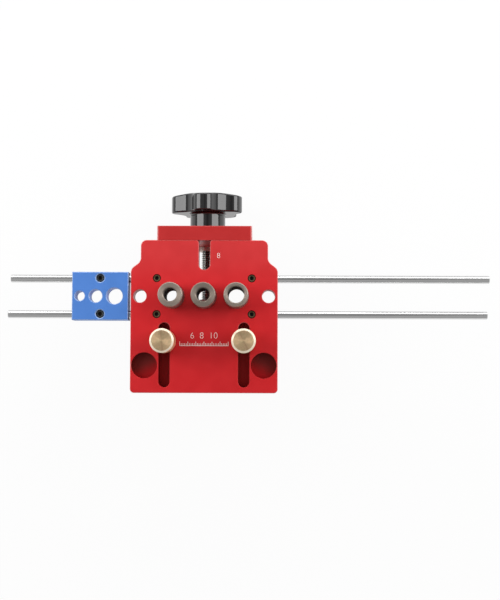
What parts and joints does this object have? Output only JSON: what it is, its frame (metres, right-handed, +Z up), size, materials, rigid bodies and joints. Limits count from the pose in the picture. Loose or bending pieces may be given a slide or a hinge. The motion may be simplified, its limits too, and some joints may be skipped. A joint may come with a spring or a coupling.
{
  "type": "dowelling jig",
  "caption": "Dowelling jig: drill bushes in a guide plate, a sliding fence held by thumb screws, a star-knob clamp screw and a stop block on guide rods.",
  "frame": {"origin": "axis of the centre bush, at the underside of the guide plate, which rests on the board", "axes": "+X along the guide rods, away from the stop block; +Y towards the clamp knob; +Z up through the bushes"},
  "size_m": [0.3015, 0.1314, 0.0927],
  "materials": {
    "red_aluminium": "satin red anodised",
    "blue_aluminium": "satin blue anodised",
    "plain_aluminium": "turned",
    "ground_steel": "ground",
    "polished_steel": "polished",
    "zinc_steel": "zinc plated",
    "black_steel": "black oxide",
    "brass": "turned",
    "black_plastic": "glossy moulded"
  },
  "bodies": {
    "frame": {"guide_plate": "red_aluminium", "bush_left_8mm": "ground_steel", "bush_centre_8mm": "ground_steel", "bush_right_10mm": "ground_steel", "rod_lock_screw_rear_left": "black_steel", "rod_lock_screw_rear_right": "black_steel", "rod_lock_screw_front_left": "black_steel", "rod_lock_screw_front_right": "black_steel", "rear_clamp_plate": "red_aluminium", "rear_plate_screw_left": "black_steel", "rear_plate_screw_right": "black_steel", "threaded_insert": "ground_steel"},
    "rear_rod": {"guide_rod_rear": "polished_steel"},
    "front_rod": {"guide_rod_front": "polished_steel"},
    "stop": {"stop_block": "blue_aluminium", "block_lock_screw_rear": "black_steel", "block_lock_screw_front": "black_steel"},
    "pad": {"clamp_pad": "plain_aluminium"},
    "screw": {"clamp_screw": "zinc_steel", "star_knob": "black_plastic", "pad_retaining_clip": "zinc_steel"},
    "fence": {"fence_slide_plate": "red_aluminium", "fence_face_plate": "red_aluminium", "fence_face_screw_left": "black_steel", "fence_face_screw_right": "black_steel"},
    "left_washer": {"thumb_screw_washer_left": "zinc_steel"},
    "left_thumb_screw": {"thumb_screw_head_left": "brass", "thumb_screw_stud_left": "zinc_steel"},
    "right_washer": {"thumb_screw_washer_right": "zinc_steel"},
    "right_thumb_screw": {"thumb_screw_head_right": "brass", "thumb_screw_stud_right": "zinc_steel"}
  },
  "joints": [
    {"name": "rear_rod_slide", "type": "slide", "parent": "frame", "child": "rear_rod", "axis": [1, 0, 0], "range_m": [-0.13, 0.038]},
    {"name": "front_rod_slide", "type": "slide", "parent": "frame", "child": "front_rod", "axis": [1, 0, 0], "range_m": [-0.13, 0.038]},
    {"name": "stop_slide", "type": "slide", "parent": "frame", "child": "stop", "axis": [1, 0, 0], "range_m": [-0.038, 0.0013]},
    {"name": "clamp_travel", "type": "slide", "parent": "frame", "child": "pad", "axis": [0, 1, 0], "range_m": [-0.0008, 0.032]},
    {"name": "clamp_turn", "type": "hinge", "parent": "pad", "child": "screw", "pos_m": [0, 0, -0.036], "axis": [0, 1, 0], "range_deg": [-231, 9217]},
    {"name": "fence_slide", "type": "slide", "parent": "frame", "child": "fence", "axis": [0, 1, 0], "range_m": [-0.025, 0.008]},
    {"name": "left_thumb_lift", "type": "slide", "parent": "fence", "child": "left_washer", "axis": [0, 0, 1], "range_m": [0, 0.004]},
    {"name": "left_thumb_turn", "type": "hinge", "parent": "left_washer", "child": "left_thumb_screw", "pos_m": [-0.0247, -0.028, 0.02], "axis": [0, 0, 1], "range_deg": [-1, 1441]},
    {"name": "right_thumb_lift", "type": "slide", "parent": "fence", "child": "right_washer", "axis": [0, 0, 1], "range_m": [0, 0.004]},
    {"name": "right_thumb_turn", "type": "hinge", "parent": "right_washer", "child": "right_thumb_screw", "pos_m": [0.0247, -0.028, 0.02], "axis": [0, 0, 1], "range_deg": [-1, 1441]}
  ],
  "couplings": [
    {"joint": "clamp_turn", "follows": "clamp_travel", "rad_per_m": 5026.5},
    {"joint": "left_thumb_turn", "follows": "left_thumb_lift", "rad_per_m": 6283.2},
    {"joint": "right_thumb_turn", "follows": "right_thumb_lift", "rad_per_m": 6283.2}
  ]
}
